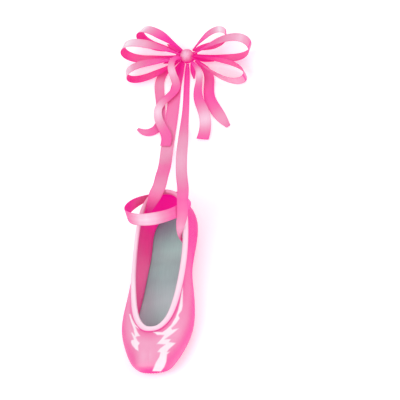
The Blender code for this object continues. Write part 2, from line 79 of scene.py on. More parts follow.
def viewAxes():
    azimuth, elevation, roll = (math.radians(studio[key]) for key in ("azimuth", "elevation", "roll"))
    flat = math.cos(elevation)
    back = Vector((math.sin(azimuth) * flat, -math.cos(azimuth) * flat, math.sin(elevation)))
    level = Vector((math.cos(azimuth), math.sin(azimuth), 0))
    right = level * math.cos(roll) + back.cross(level) * math.sin(roll)
    return right, back.cross(right), back


def viewDistance():
    return studio["lens"] / studio["sensor"] * studio["picture"] * studio["pixel"]


def pictureOf(points):
    # where points of the shoe lie in the picture, in its pixels
    right, up, back = (np.array(axis) for axis in viewAxes())
    away = points - np.array(studio["aim"])
    grow = viewDistance() / (viewDistance() - away @ back) / studio["pixel"]
    half = studio["picture"] / 2
    return half + (away @ right) * grow, half - (away @ up) * grow


def makeCamera():
    right, up, back = viewAxes()
    lens = bpy.data.cameras.new("camera")
    lens.lens = studio["lens"]
    lens.sensor_width = studio["sensor"]
    lens.clip_end = 100
    camera = addObject("camera", lens)
    place = (Vector(studio["aim"]) + back * viewDistance()) * mm
    camera.matrix_world = Matrix.Translation(place) @ Matrix((right, up, back)).transposed().to_4x4()
    bpy.context.scene.camera = camera


def makeLight(name, place, size, power):
    # a square soft light
    data = bpy.data.lights.new(name, "AREA")
    data.size = size * mm
    data.energy = power
    light = addObject(name, data)
    light.location = Vector(place) * mm
    aim = Vector(studio["lit"]) * mm
    light.rotation_euler = (light.location - aim).to_track_quat("Z", "Y").to_euler()


def makeStudio():
    makeCamera()
    scene = bpy.context.scene
    scene.view_settings.view_transform = "Standard"
    scene.view_settings.look = "None"
    sky = bpy.data.worlds.new("studio")
    sky.use_nodes = True
    background = sky.node_tree.nodes["Background"].inputs
    background["Color"].default_value = (1, 1, 1, 1)
    background["Strength"].default_value = studio["sky"]
    scene.world = sky
    for name, (place, size, power) in lights.items():
        makeLight(name, place, size, power)
    builder = bmesh.new()
    bmesh.ops.create_grid(builder, x_segments=2, y_segments=2, size=studio["floor"] * mm / 2)
    floor = addObject("floor", meshOf("floor", builder))
    tone = studio["floorTone"]
    finish, tree, shader = newFinish("floor", {
        "Base Color": (tone, tone, tone, 1), "Roughness": studio["floorRoughness"],
        "Emission Color": (1, 1, 1, 1), "Emission Strength": studio["floorGlow"],
    })
    floor.data.materials.append(finish)


# Shader helpers and the effects that several finishes share

def linear(colour):
    # a display colour of 0 to 255 a channel, as Blender's own linear one
    return [((c / 255 + 0.055) / 1.055) ** 2.4 for c in colour] + [1]


def newFinish(name, values):
    # values: what the shader's own sockets say
    finish = bpy.data.materials.new(name)
    finish.use_nodes = True
    shader = finish.node_tree.nodes["Principled BSDF"]
    for label, value in values.items():
        shader.inputs[label].default_value = value
    return finish, finish.node_tree, shader


def feed(tree, target, source):
    # a socket is linked, and a number or colour is set
    if isinstance(source, bpy.types.NodeSocket):
        tree.links.new(source, target)
    else:
        target.default_value = source


def addNode(tree, kind, given=(), **settings):
    # given: what feeds the node's own sockets, by their names or numbers
    node = tree.nodes.new("ShaderNode" + kind)
    for key, value in settings.items():
        setattr(node, key, value)
    for key, source in dict(given).items():
        feed(tree, node.inputs[key], source)
    return node


def sums(tree, operation, *terms):
    return addNode(tree, "Math", enumerate(terms), operation=operation).outputs[0]


def plus(tree, *terms):
    return sums(tree, "ADD", *terms)


def times(tree, *terms):
    return sums(tree, "MULTIPLY", *terms)


def attribute(tree, name):
    return addNode(tree, "Attribute", attribute_name=name).outputs["Fac"]


def newGroup(name, inputs, outputs):
    group = bpy.data.node_groups.new(name, "ShaderNodeTree")
    for side, sockets in (("INPUT", inputs), ("OUTPUT", outputs)):
        for label, kind in sockets.items():
            group.interface.new_socket(name=label, in_out=side, socket_type="NodeSocket" + kind)
    return group, group.nodes.new("NodeGroupInput").outputs, group.nodes.new("NodeGroupOutput").inputs


def useGroup(tree, group, **values):
    node = tree.nodes.new("ShaderNodeGroup")
    node.node_tree = group
    for label, value in values.items():
        feed(tree, node.inputs[label], value)
    return node.outputs


def makeWeave():
    # threads along and across the cloth, with uneven slubs
    inputs = {"Cloth": "Vector", "Threads": "Float", "Slubs": "Float"}
    group, given, made = newGroup("weave", inputs, {"Height": "Float", "Streak": "Float"})
    split = addNode(group, "SeparateXYZ", {0: given["Cloth"]}).outputs
    around = times(group, given["Threads"], 2 * pi)
    warp = sums(group, "SINE", times(group, split["X"], around))
    weft = sums(group, "SINE", times(group, split["Y"], around))
    floats = times(group, warp, plus(group, times(group, weft, 0.35), 0.65))
    stretch = addNode(group, "Mapping", {"Vector": given["Cloth"], "Scale": (900, 40, 1)})
    slub = addNode(group, "TexNoise", {"Vector": stretch.outputs[0], "Scale": 1, "Detail": 3})
    streak = sums(group, "SUBTRACT", slub.outputs["Fac"], 0.5)
    feed(group, made["Height"], plus(group, floats, times(group, streak, given["Slubs"])))
    feed(group, made["Streak"], streak)
    return group


def makeMottle():
    # slow uneven patches, from -0.5 to 0.5
    group, given, made = newGroup("mottle", {"Place": "Vector", "Scale": "Float"}, {"Value": "Float"})
    noise = addNode(group, "TexNoise", {"Vector": given["Place"], "Scale": given["Scale"], "Detail": 4})
    feed(group, made["Value"], sums(group, "SUBTRACT", noise.outputs["Fac"], 0.5))
    return group


pinks = {  # tone: display colour, from the lining's deep pink to the light on the satin
    0.0: (226, 0, 138),
    0.25: (236, 52, 152),
    0.5: (241, 112, 170),
    0.75: (245, 164, 199),
    0.9: (249, 200, 224),
    1.0: (255, 238, 247),
}
paintedGlows = {  # tone: painted glow, light that the deep pinks give off of their own though they are no lamp, so they stay bright in shade
    0.0: (225, 0, 156),
    0.3: (185, 40, 140),
    0.62: (0, 0, 0),
    1.0: (0, 0, 0),
}


def addRamp(tree, rows, place):
    ramp = addNode(tree, "ValToRGB", {0: place})
    stops = ramp.color_ramp.elements
    while len(stops) < len(rows):
        stops.new(0.5)
    for stop, (at, colour) in zip(stops, sorted(rows.items())):
        stop.position = at
        stop.color = linear(colour)
    return ramp.outputs["Color"]


def makePinks():
    group, given, made = newGroup("pinks", {"Tone": "Float"}, {"Color": "Color", "Glow": "Color"})
    feed(group, made["Color"], addRamp(group, pinks, given["Tone"]))
    feed(group, made["Glow"], addRamp(group, paintedGlows, given["Tone"]))
    return group


def clothPlace(tree):
    return addNode(tree, "UVMap", uv_map="cloth").outputs[0]


def objectPlace(tree):
    return addNode(tree, "TexCoord").outputs["Object"]


def addBump(tree, shader, height, distance, strength=1.0):
    bump = addNode(tree, "Bump", {"Strength": strength, "Distance": distance * mm, "Height": height})
    feed(tree, shader.inputs["Normal"], bump.outputs[0])


# the last column is a painted glow: how strongly the pinks give off light of their own
Cloth = namedtuple("Cloth", "roughness sheen coat threads threadDepth unevenness glow")
cloths = {
    "satin": Cloth(0.42, 0.02, 0.08, 2600, 0.03, 0.06, 0.14),
    "lining": Cloth(0.75, 0.0, 0.0, 1400, 0.05, 0.08, 0.52),
    "tape": Cloth(0.45, 0.05, 0.04, 2400, 0.03, 0.05, 0.26),
    "elastic weave": Cloth(0.6, 0.03, 0.0, 1100, 0.07, 0.06, 0.26),
    "ribbon satin": Cloth(0.42, 0.05, 0.06, 2200, 0.03, 0.06, 0.26),
}


def makePinkCloth(name):
    # its tone is charted on the piece, painted light and shade with it, and broken up by its own threads; its
    # deep pinks give off a painted glow
    cloth = cloths[name]
    finish, tree, shader = newFinish(name, {
        "Roughness": cloth.roughness, "Specular IOR Level": 0.3, "Emission Strength": cloth.glow,
        "Sheen Weight": cloth.sheen, "Sheen Roughness": 0.4,
        "Coat Weight": cloth.coat, "Coat Roughness": 0.25,
    })
    threads = useGroup(tree, weave, Cloth=clothPlace(tree), Threads=cloth.threads, Slubs=0.8)
    patches = useGroup(tree, mottle, Place=objectPlace(tree), Scale=38.0)
    uneven = plus(tree, threads["Streak"], patches["Value"])
    tone = plus(tree, attribute(tree, "tone"), times(tree, uneven, cloth.unevenness))
    colours = useGroup(tree, pinkRamp, Tone=tone)
    feed(tree, shader.inputs["Base Color"], colours["Color"])
    feed(tree, shader.inputs["Emission Color"], colours["Glow"])
    rougher = times(tree, threads["Streak"], 0.16)
    feed(tree, shader.inputs["Roughness"], plus(tree, rougher, cloth.roughness))
    addBump(tree, shader, threads["Height"], cloth.threadDepth)
    return finish


# Grids bent into pieces

def gridPiece(name, counts, place, finishes, node, fillEnds=False):
    # place takes the grid's two shares, and gives points, cloth places and named values for its vertices
    builder = bmesh.new()
    bmesh.ops.create_grid(builder, x_segments=counts[0], y_segments=counts[1], size=1)
    flat = np.array([vert.co[:2] for vert in builder.verts]) / 2 + 0.5
    points, cloth, values = place(flat[:, 0], flat[:, 1])
    clothLayer = builder.loops.layers.uv.new("cloth")
    builder.verts.index_update()
    for face in builder.faces:
        for loop in face.loops:
            loop[clothLayer].uv = cloth[loop.vert.index]
    layers = {key: builder.verts.layers.float.new(key) for key in values}
    for vert in builder.verts:
        for key, layer in layers.items():
            vert[layer] = values[key][vert.index]
        vert.co = points[vert.index] * mm
    bmesh.ops.remove_doubles(builder, verts=builder.verts, dist=1e-6)
    if fillEnds:
        rims = [edge for edge in builder.edges if edge.is_boundary]
        ends = bmesh.ops.holes_fill(builder, edges=rims, sides=0)["faces"]
        bmesh.ops.triangulate(builder, faces=ends)
    bmesh.ops.recalc_face_normals(builder, faces=builder.faces)
    if len(finishes) > 1:
        inner = layers["inner"]
        for face in builder.faces:
            face.material_index = int(sum(vert[inner] for vert in face.verts) / len(face.verts) > 0.5)
    return finishPiece(name, builder, finishes, node)


def finishPiece(name, builder, finishes, node):
    mesh = meshOf(name, builder)
    mesh.shade_smooth()
    for finish in finishes:
        mesh.materials.append(finish)
    piece = addObject(name, mesh)
    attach(piece, "root")
    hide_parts(node)
    return piece


def joined(*parts):
    return np.stack(parts, axis=-1)


def unit(vectors):
    return vectors / np.linalg.norm(vectors, axis=-1)[..., None]


def softStep(low, high, value):
    share = np.clip((value - low) / (high - low), 0, 1)
    return share * share * (3 - 2 * share)


def smoothCurve(knots, values, flatEnds=False):
    # a cubic through the values, level or straight at its two ends
    knots = np.asarray(knots, float)
    values = np.asarray(values, float)
    gaps = np.diff(knots)
    slopes = np.diff(values) / gaps
    system = np.zeros((len(knots), len(knots)))
    wanted = np.zeros(len(knots))
    for i in range(1, len(knots) - 1):
        system[i, i - 1:i + 2] = gaps[i - 1], 2 * (gaps[i - 1] + gaps[i]), gaps[i]
        wanted[i] = 6 * (slopes[i] - slopes[i - 1])
    if flatEnds:
        system[0, :2] = 2 * gaps[0], gaps[0]
        system[-1, -2:] = gaps[-1], 2 * gaps[-1]
        wanted[0] = 6 * slopes[0]
        wanted[-1] = -6 * slopes[-1]
    else:
        system[0, 0] = 1
        system[-1, -1] = 1
    bends = np.linalg.solve(system, wanted)

    def at(place):
        i = np.clip(np.searchsorted(knots, place, side="right") - 1, 0, len(gaps) - 1)
        before = place - knots[i]
        after = knots[i + 1] - place
        gap = gaps[i]
        curved = (bends[i] * after**3 + bends[i + 1] * before**3) / (6 * gap)
        straight = (values[i] / gap - bends[i] * gap / 6) * after
        return curved + straight + (values[i + 1] / gap - bends[i + 1] * gap / 6) * before

    return at


# The last: the same sections as the solid upper

vertical = np.array([0.0, 0.0, 1.0])
last = {
    "length": 238, "ballHalf": 44, "heelHeight": 52, "heelRest": 32, "nose": 8, "platformSoft": 2.6,
    "wall": 1.8, "boxWall": 3.0, "gap": 0.3, "boxStart": 0.52, "boxEnd": 0.72,
    "soleThick": 2.8, "soleLap": 5, "soleBevel": 0.7, "arch": 4.5, "toeSpring": 2.4,
    "heelFlatEnd": 0.24, "treadStart": 0.62, "treadEnd": 0.78, "edgePull": 0.7, "underPull": 0.72,
}
Section = namedtuple(
    "Section",
    "edgeBack edgeSide collarBack collarSide soleBack soleSide rise collarHeight fall lean topPull lowPull",
)
lastSections = [Section(*row) for row in (  # from the middle of the heel round one side to that of the toe
    (0.006, 0.000, 0.032, 0.000, 0.034, 0.000, 0.10, 1.00, 82, 18, 0.40, 0.40),
    (0.042, 0.445, 0.052, 0.345, 0.057, 0.330, 0.10, 0.99, 80, 20, 0.40, 0.40),
    (0.130, 0.710, 0.126, 0.591, 0.143, 0.477, 0.10, 0.94, 78, 26, 0.40, 0.40),
    (0.252, 0.735, 0.252, 0.689, 0.261, 0.409, 0.11, 0.87, 74, 36, 0.40, 0.40),
    (0.382, 0.730, 0.378, 0.709, 0.387, 0.352, 0.12, 0.81, 70, 44, 0.40, 0.40),
    (0.508, 0.800, 0.496, 0.682, 0.513, 0.500, 0.12, 0.78, 60, 42, 0.42, 0.40),
    (0.630, 0.910, 0.601, 0.620, 0.630, 0.693, 0.11, 0.755, 44, 34, 0.44, 0.42),
    (0.744, 0.930, 0.689, 0.534, 0.723, 0.739, 0.11, 0.745, 32, 28, 0.46, 0.45),
    (0.849, 0.765, 0.752, 0.420, 0.807, 0.614, 0.12, 0.74, 25, 24, 0.46, 0.48),
    (0.938, 0.525, 0.790, 0.277, 0.857, 0.364, 0.13, 0.74, 19, 22, 0.46, 0.50),
    (0.982, 0.295, 0.807, 0.141, 0.878, 0.170, 0.14, 0.74, 15, 20, 0.46, 0.50),
    (1.000, 0.000, 0.811, 0.000, 0.882, 0.000, 0.14, 0.74, 13, 20, 0.46, 0.50),
)]


def lastCurve(name, unit, odd=False):
    values = [getattr(section, name) * unit for section in lastSections]
    return smoothCurve(np.linspace(0, 1, len(lastSections)), values, not odd)


edgeBack = lastCurve("edgeBack", last["length"] + last["nose"])
edgeSide = lastCurve("edgeSide", last["ballHalf"], True)
collarBack = lastCurve("collarBack", last["length"])
collarSide = lastCurve("collarSide", last["ballHalf"], True)
soleBack = lastCurve("soleBack", last["length"])
soleSide = lastCurve("soleSide", last["ballHalf"], True)
edgeRise = lastCurve("rise", last["heelHeight"])
collarHeight = lastCurve("collarHeight", last["heelHeight"])
collarFall = lastCurve("fall", pi / 180)
edgeLean = lastCurve("lean", pi / 180)
topPull = lastCurve("topPull", 1)
lowPull = lastCurve("lowPull", 1)


def soleHeight(back):
    length = last["length"]
    start, end, tread = (last[k] * length for k in ("heelFlatEnd", "treadStart", "treadEnd"))
    arch = np.clip((back - start) / (end - start), 0, 1)
    past = np.clip((back - tread) / (length - tread), 0, 1)
    return last["arch"] * np.sin(pi * arch) ** 2 + last["toeSpring"] * past**2


def underHeight(back):
    return soleHeight(back) + last["soleThick"] + last["gap"]


def pressPlatform(points, limit):
    soft = last["platformSoft"]
    past = np.log1p(np.exp((limit - points[..., 1]) / soft))
    return joined(points[..., 0], limit - soft * past, points[..., 2])


def planNormal(back, side, half):
    step = 1e-4
    ahead = np.minimum(half + step, 1)
    behind = np.maximum(half - step, 0)
    runBack = back(ahead) - back(behind)
    runSide = side(ahead) - side(behind)
    length = np.hypot(runBack, runSide)
    return joined(runBack / length, -runSide / length, np.zeros_like(half))


def bezier(a, b, c, d, share):
    rest = 1 - share
    return rest**3 * a + 3 * rest**2 * share * b + 3 * rest * share**2 * c + share**3 * d


def halfOf(turn):
    wrapped = np.mod(turn, 2.0)
    return np.where(wrapped <= 1, wrapped, 2 - wrapped)


def lastSurface(turn, down):
    # turn: 0 to 1 on the right side and 1 to 2 on the left
    # down: 0 at the collar, 1 at the lower edge and 2 at the opening underneath
    turn, down = np.broadcast_arrays(np.mod(turn, 2.0), np.asarray(down, float))
    half = halfOf(turn)
    edge = edgeBack(half)
    sole = joined(soleSide(half), soleBack(half), np.zeros_like(half))
    soleOut = planNormal(soleBack, soleSide, half)
    opening = sole - last["soleLap"] * soleOut
    opening[..., 2] = underHeight(opening[..., 1])
    collar = joined(collarSide(half), collarBack(half), collarHeight(half))
    low = joined(edgeSide(half), edge, underHeight(edge) + edgeRise(half))
    span = np.linalg.norm(collar - low, axis=-1)[..., None]
    fall = collarFall(half)[..., None]
    lean = edgeLean(half)[..., None]
    leaving = np.cos(fall) * planNormal(collarBack, collarSide, half) - np.sin(fall) * vertical
    arriving = np.sin(lean) * planNormal(edgeBack, edgeSide, half) + np.cos(lean) * vertical
    high = collar + topPull(half)[..., None] * span * leaving
    deep = low + lowPull(half)[..., None] * span * arriving
    wall = bezier(collar, high, deep, low, np.clip(down, 0, 1)[..., None])
    reach = np.linalg.norm((low - opening)[..., :2], axis=-1)[..., None]
    inward = opening + last["underPull"] * reach * soleOut
    inward[..., 2] = underHeight(inward[..., 1])
    turning = low - last["edgePull"] * edgeRise(half)[..., None] * arriving
    turned = bezier(low, turning, inward, opening, np.clip(down - 1, 0, 1)[..., None])
    points = pressPlatform(np.where(down[..., None] <= 1, wall, turned), last["length"])
    points[..., 0] *= np.where(turn <= 1, 1, -1)
    points[..., 1] = last["heelRest"] - points[..., 1]
    return points


def lastNormal(turn, down):
    step = 2e-4
    low = np.clip(np.asarray(down, float) - step, 0, 2)
    high = np.clip(np.asarray(down, float) + step, 0, 2)
    along = lastSurface(turn + step, down) - lastSurface(turn - step, down)
    across = lastSurface(turn, high) - lastSurface(turn, low)
    return unit(np.cross(along, across))


def wallThickness(turn, down):
    box = softStep(last["boxStart"], last["boxEnd"], halfOf(turn))
    upright = softStep(0, 0.35, down) * (1 - softStep(0.65, 1.0, down))
    return last["wall"] + (last["boxWall"] - last["wall"]) * box * upright


# Upper: satin outside with its glints, creases and pleats, and the deep pink lining inside

upper = {
    "counts": (460, 200),
    "frontShare": 0.7, "frontFrom": 0.45,  # the toe half gets more of the spokes
    "legs": (0, 0.62, 0.74, 0.80, 1.0),  # shares of the rings: outside, under, under inside, lining
    "pleats": 46, "pleatDepth": 0.55,
    "glintTone": 0.99, "glintSoft": 0.7, "glintRise": 0.25,
    "lowShade": 0.32, "toeShade": 0.36, "tapeShade": 0.20, "underShade": 0.16, "liningPaintedLight": 0.08,
}
# along the shoe's half, from the heel to the toe: place and tone. The tones are painted light and shade: on
# the satin pale over the vamp and deep round the heel, on the lining's own deep pink lighter midway and
# deepest at the heel and toe
satinPaintedTones = ((0.0, 0.02), (0.15, 0.05), (0.3, 0.23), (0.45, 0.50), (0.6, 0.60), (0.75, 0.72), (1.0, 0.73))
liningPaintedTones = ((0.0, 0.0), (0.12, 0.04), (0.2, 0.36), (0.35, 0.48), (0.5, 0.46), (0.62, 0.32), (0.7, 0.04),
               (1.0, 0.0))
glints = {  # corners of the painted highlights, bright streaks on the satin, in the picture's pixels
    "left": (
        (129.1, 314.3), (130.4, 313.7), (132.3, 318.8), (135.5, 324.5), (141.2, 329.0), (138.7, 329.0),
        (135.5, 326.8), (137.7, 332.2), (140.3, 336.0), (137.4, 336.3), (135.8, 337.0), (137.4, 340.5),
        (139.7, 343.0), (138.1, 345.6), (138.7, 351.3), (135.5, 349.4), (132.3, 345.6), (131.0, 342.4),
        (131.2, 340.3), (133.9, 339.5), (131.0, 332.8), (132.0, 332.2), (134.6, 335.4), (133.6, 329.6),
        (131.0, 322.0),
    ),
    "right": (
        (182.7, 284.0), (183.0, 291.4), (182.7, 306.0), (181.7, 310.5), (178.4, 315.0), (179.8, 318.2),
        (176.3, 323.3), (171.4, 328.2), (172.2, 329.8), (179.2, 328.2), (172.5, 333.8), (164.6, 339.2),
        (171.2, 339.0), (169.0, 342.1), (176.0, 343.0), (168.7, 349.4), (167.1, 352.0), (169.9, 351.6),
        (167.1, 354.5), (166.4, 361.5), (164.2, 367.3), (161.0, 371.4), (152.1, 371.1), (155.9, 362.2),
        (159.1, 357.1), (160.4, 352.6), (157.2, 352.0), (160.4, 348.1), (165.5, 344.6), (156.6, 344.0),
        (161.0, 339.2), (164.2, 335.1), (157.2, 335.1), (152.4, 331.6), (162.3, 332.2), (166.1, 329.6),
        (171.2, 324.5), (175.4, 317.5), (177.9, 310.5), (179.8, 302.2), (181.4, 291.4),
    ),
}
# the soft light patch on the toe, also in the picture's pixels
shine = {"x": 143, "y": 359, "reach": 9, "tone": 0.13}
# soft troughs pressed into the satin, and ridges where the depth is below nothing
creases = (  # x and y of one end, x and y of the other, width and depth
    (-30, -128, -9, -164, 3.2, 0.55),
    (-33, -146, -12, -168, 2.6, 0.40),
    (-31, -160, -8, -176, 2.8, 0.45),
    (-24, -176, -6, -184, 2.6, 0.35),
    (-28, -140, -14, -158, 2.0, -0.35),
    (35, -96, 37, -134, 3.0, -0.55),
    (31, -104, 31, -142, 2.4, 0.45),
    (39, -128, 20, -166, 2.8, 0.45),
    (8, -164, 34, -150, 2.4, 0.40),
    (4, -168, 36, -160, 2.4, -0.35),
    (10, -176, 34, -170, 2.4, 0.45),
    (10, -184, 33, -180, 2.2, -0.30),
    (13, -190, 30, -187, 2.6, 0.35),
    (-38, -60, -31, -100, 4.5, 0.50),
    (38, -60, 31, -100, 4.5, 0.50),
    (-31, -30, -28, -66, 4.0, 0.40),
    (31, -30, 28, -66, 4.0, 0.40),
)


def charted(rows, place):
    return np.interp(place, *zip(*rows))


def inPolygon(x, y, corners, soft):
    # 1 inside the outline and 0 outside it, over a soft edge
    nearest = np.full(x.shape, 1e9)
    inside = np.zeros(x.shape, bool)
    for (ax, ay), (bx, by) in zip(corners, corners[1:] + corners[:1]):
        runX, runY = bx - ax, by - ay
        share = np.clip(((x - ax) * runX + (y - ay) * runY) / (runX**2 + runY**2), 0, 1)
        nearest = np.minimum(nearest, np.hypot(x - ax - share * runX, y - ay - share * runY))
        crosses = (ay > y) != (by > y)
        rise = runY if abs(runY) > 1e-9 else 1e-9
        inside ^= crosses & (x < ax + (y - ay) / rise * runX)
    return softStep(-soft, soft, np.where(inside, nearest, -nearest))


def glintMask(points):
    x, y = pictureOf(points)
    return np.maximum.reduce([inPolygon(x, y, corners, upper["glintSoft"]) for corners in glints.values()])


def creaseHeight(points):
    height = np.zeros(len(points))
    for startX, startY, endX, endY, width, depth in creases:
        run = np.array([endX - startX, endY - startY])
        away = points[:, :2] - np.array([startX, startY])
        share = away @ run / (run @ run)
        across = np.linalg.norm(away - np.clip(share, 0, 1)[:, None] * run, axis=1)
        fade = np.clip(1 - (2 * share - 1) ** 2, 0, 1)
        height -= depth * np.exp(-((across / width) ** 2)) * fade
    return height


def pleatHeight(turn, down):
    # gathers under the toe and, finer and flatter, round the heel's underside
    half = halfOf(turn)
    under = softStep(0.98, 1.25, down) * (1 - softStep(1.7, 2.0, down))
    toe = softStep(0.66, 0.80, half)
    heel = 0.5 * (1 - softStep(0.12, 0.2, half))
    wave = np.abs(np.sin(pi * upper["pleats"] * half + 0.7 * np.sin(9 * half)))
    return -upper["pleatDepth"] * (1 - wave) ** 1.5 * under * np.maximum(toe, heel)


def spreadTurn(share):
    # the grid's share as a turn, with its spokes closer together round the toe
    side = np.where(share <= 0.5, share, 1 - share) * 2
    rest = 1 - upper["frontShare"]
    half = np.interp(side, [0, rest, 1], [0, upper["frontFrom"], 1])
    return np.where(share <= 0.5, half, 2 - half)


def upperPlace(u, v):
    turn = spreadTurn(u)
    down = np.interp(v, upper["legs"], (0, 1, 2, 1, 0))
    inner = (v > upper["legs"][2]).astype(float)
    outside = lastSurface(turn, down)
    normal = lastNormal(turn, down)
    glint = glintMask(outside) * (down < 1.02) * (1 - inner)
    wall = softStep(0.02, 0.12, down) * (1 - softStep(0.85, 1.0, down))
    relief = creaseHeight(outside) * wall + pleatHeight(turn, down) + upper["glintRise"] * glint
    points = outside + normal * (relief * (1 - inner) - wallThickness(turn, down) * inner)[:, None]
    half = halfOf(turn)
    # painted shade: deeper beside the tape, down the sides, along the foot of the platform and underneath;
    # then the painted light patch on the toe and the painted highlights of the glints
    low = np.where(turn > 1, softStep(0.22, 0.62, down), softStep(0.34, 0.74, down))
    toe = softStep(0.86, 0.95, half)
    tone = charted(satinPaintedTones, half) - upper["lowShade"] * low * (1 - 0.6 * toe)
    tone -= upper["toeShade"] * softStep(0.72, 0.95, down) * toe
    tone -= upper["tapeShade"] * (1 - softStep(0.05, 0.24, down)) * softStep(0.3, 0.5, half)
    tone -= upper["underShade"] * softStep(0.88, 1.1, down)
    across, below = pictureOf(outside)
    spot = np.hypot(across - shine["x"], below - shine["y"]) / shine["reach"]
    tone += shine["tone"] * np.exp(-spot**2) * (down < 1)
    tone = tone + (upper["glintTone"] - tone) * glint
    # the lining's own deep pink, with painted shade charted along it and painted light lower down its wall
    lining = charted(liningPaintedTones, half) + upper["liningPaintedLight"] * softStep(0.1, 0.8, down)
    tone = np.where(inner > 0.5, lining, tone)
    return points, joined(turn * 0.28, down * 0.07), {"tone": tone, "inner": inner}


def makeUpper():
    finishes = [makePinkCloth("satin"), makePinkCloth("lining")]
    gridPiece("upper_satin", upper["counts"], upperPlace, finishes, "upper")
    print("upper made")


# Binding tape folded over the collar

binding = {
    "counts": (420, 44), "outside": 5.0, "inside": 4.0, "thick": 0.9, "gap": 0.4, "puff": 0.35,
    "stitches": 190, "stitchDepth": 0.25, "stitchFromEdge": 1.1, "stitchReach": 0.35,
}


def wallDistance(turn, reach):
    # how far down the wall a length of tape reaches, for each turn
    downs = np.linspace(0, 0.35, 36)
    lines = lastSurface(turn[:, None], downs[None, :])
    steps = np.linalg.norm(np.diff(lines, axis=1), axis=-1)
    lengths = np.concatenate([np.zeros((len(turn), 1)), np.cumsum(steps, axis=1)], axis=1)
    return np.array([np.interp(r, row, downs) for r, row in zip(reach, lengths)])


def bindingPlace(u, v):
    turn = spreadTurn(u)
    mid = binding["gap"] + binding["thick"] / 2
    bend = last["wall"] / 2 + mid
    legs = np.array([binding["outside"], pi * bend, binding["inside"]])
    side = np.where(v < 0.5, 1.0, -1.0)  # out along the tape's face, and back along its underside
    along = np.where(v < 0.5, v * 2, 2 - 2 * v) * legs.sum()
    outsideLeg = np.clip(binding["outside"] - along, 0, None)
    insideLeg = np.clip(along - legs[0] - legs[1], 0, None)
    angle = np.clip((along - legs[0]) / legs[1], 0, 1) * pi
    down = wallDistance(turn, outsideLeg + insideLeg)
    base = lastSurface(turn, down)
    out = lastNormal(turn, down)
    edge = lastSurface(turn, np.zeros_like(turn))
    upward = unit(edge - lastSurface(turn, np.full_like(turn, 0.02)))
    shareAlong = along / legs.sum()
    ends = np.clip(1 - (2 * shareAlong - 1) ** 2, 0, 1)
    half = binding["thick"] / 2 * np.clip(ends * 14, 0, 1) ** 0.5
    face = np.where(side > 0, half + binding["puff"] * ends**0.6, -half)
    radius = bend + face
    middle = -out * (last["wall"] / 2)
    across = np.cos(angle)[:, None] * out + np.sin(angle)[:, None] * upward
    points = base + middle + across * radius[:, None]
    stitch = 0.5 + 0.5 * np.sin(turn * pi * binding["stitches"])
    fromRow = (outsideLeg - binding["outside"] + binding["stitchFromEdge"]) / binding["stitchReach"]
    row = np.exp(-(fromRow**2)) * (side > 0) * (outsideLeg > 0)
    points -= across * (binding["stitchDepth"] * row * (0.4 + 0.6 * stitch))[:, None]
    rim = 1 - softStep(0.5, 1.3, np.minimum(along, legs.sum() - along))
    # painted shade on the tape: palest over its fold and deeper down its legs, on its underside, towards the
    # heel and down its inside leg; a deep line at each rim, and a little darker along the stitch row
    tone = 0.96 - 0.12 * (1 - ends) - 0.10 * row - 0.55 * rim
    tone -= 0.35 * (side < 0)
    tone -= 0.20 * (1 - softStep(0.05, 0.3, halfOf(turn)))
    tone -= 0.16 * softStep(0.45, 0.8, shareAlong)
    return points, joined(along * mm, turn * 0.25), {"tone": tone}


def makeBinding():
    tape = [makePinkCloth("tape")]
    gridPiece("binding_tape", binding["counts"], bindingPlace, tape, "binding")
    print("binding made")


# Sole and insole

sole = {
    "counts": (220, 90), "spineEnd": 15, "channel": 4.5, "channelReach": 0.5, "channelDepth": 0.35,
    "treadFrom": (70, 110), "treadTo": (160, 178), "heelTo": (-8, 12), "leather": (205, 165, 134),
}
insole = {
    "counts": (220, 90), "setback": 10.5, "toeSetback": 24, "lift": 0.9, "thick": 2.0, "bevel": 0.5,
    "hollow": 0.5, "cooled": (0.88, 1.55, 1.25, 1),  # what the grey is multiplied by where it is cooled: a cyan tint painted against the pink light that the walls throw onto it
}
greys = {0.0: (0, 0, 0), 0.5: (102, 142, 140), 1.0: (232, 255, 253)}
# along the foot: place, grey of 255 with its painted light and shade, darkest at the heel and the toe end,
# and how much the cloth is cooled against the pink light that the walls throw onto it
greyRows = (
    (30, 148, 1.0), (10, 156, 1.0), (-14, 172, 1.0), (-34, 188, 0.72), (-52, 172, 0.34), (-78, 170, 0.06),
    (-105, 200, 0.1), (-130, 184, 0.35), (-150, 154, 0.5), (-170, 130, 0.5),
)


def plateShares(v, rim):
    # rings from the middle of the underside, out round the rim and back to the middle of the top
    spread = np.interp(v, (0, 0.42, 0.5, 0.58, 1), (0, 1, 1, 1, 0))
    inset = np.interp(v, (0.42, 0.46, 0.54, 0.58), (rim, 0, 0, rim))
    level = np.interp(v, (0.42, 0.46, 0.54, 0.58), (0, 1, -1, 0))
    return spread, inset, level, v >= 0.5


def platePlace(u, v, outline, ends, under, thick, bevel):
    turn = u * 2
    back, side = outline(halfOf(turn))
    side = side * np.where(turn <= 1, 1, -1)
    spine = np.clip(back, *ends)
    spread, inset, level, top = plateShares(v, bevel)
    away = joined(side, back - spine)
    length = np.linalg.norm(away, axis=-1)
    scale = (length - inset) / length * spread
    flatX = away[:, 0] * scale
    flatBack = spine + away[:, 1] * scale
    height = under(flatBack) + np.where(top, thick, 0) + level * bevel
    points = joined(flatX, last["heelRest"] - flatBack, height)
    return points, length * (1 - scale), top


def solePlace(u, v):
    def outline(half):
        return soleBack(half), soleSide(half)

    ends = (soleBack(0.0) + sole["spineEnd"], soleBack(1.0) - sole["spineEnd"])
    points, fromRim, top = platePlace(u, v, outline, ends, soleHeight, last["soleThick"], last["soleBevel"])
    channel = np.exp(-(((fromRim - sole["channel"]) / sole["channelReach"]) ** 2)) * (~top)
    points[:, 2] += channel * sole["channelDepth"]
    forward = -points[:, 1]
    scuff = softStep(*sole["treadFrom"], forward) * (1 - softStep(*sole["treadTo"], forward))
    scuff = np.maximum(scuff, 1 - softStep(*sole["heelTo"], forward))
    return points, points[:, :2] * mm, {"rim": np.exp(-fromRim / 1.2), "scuff": scuff * (~top)}


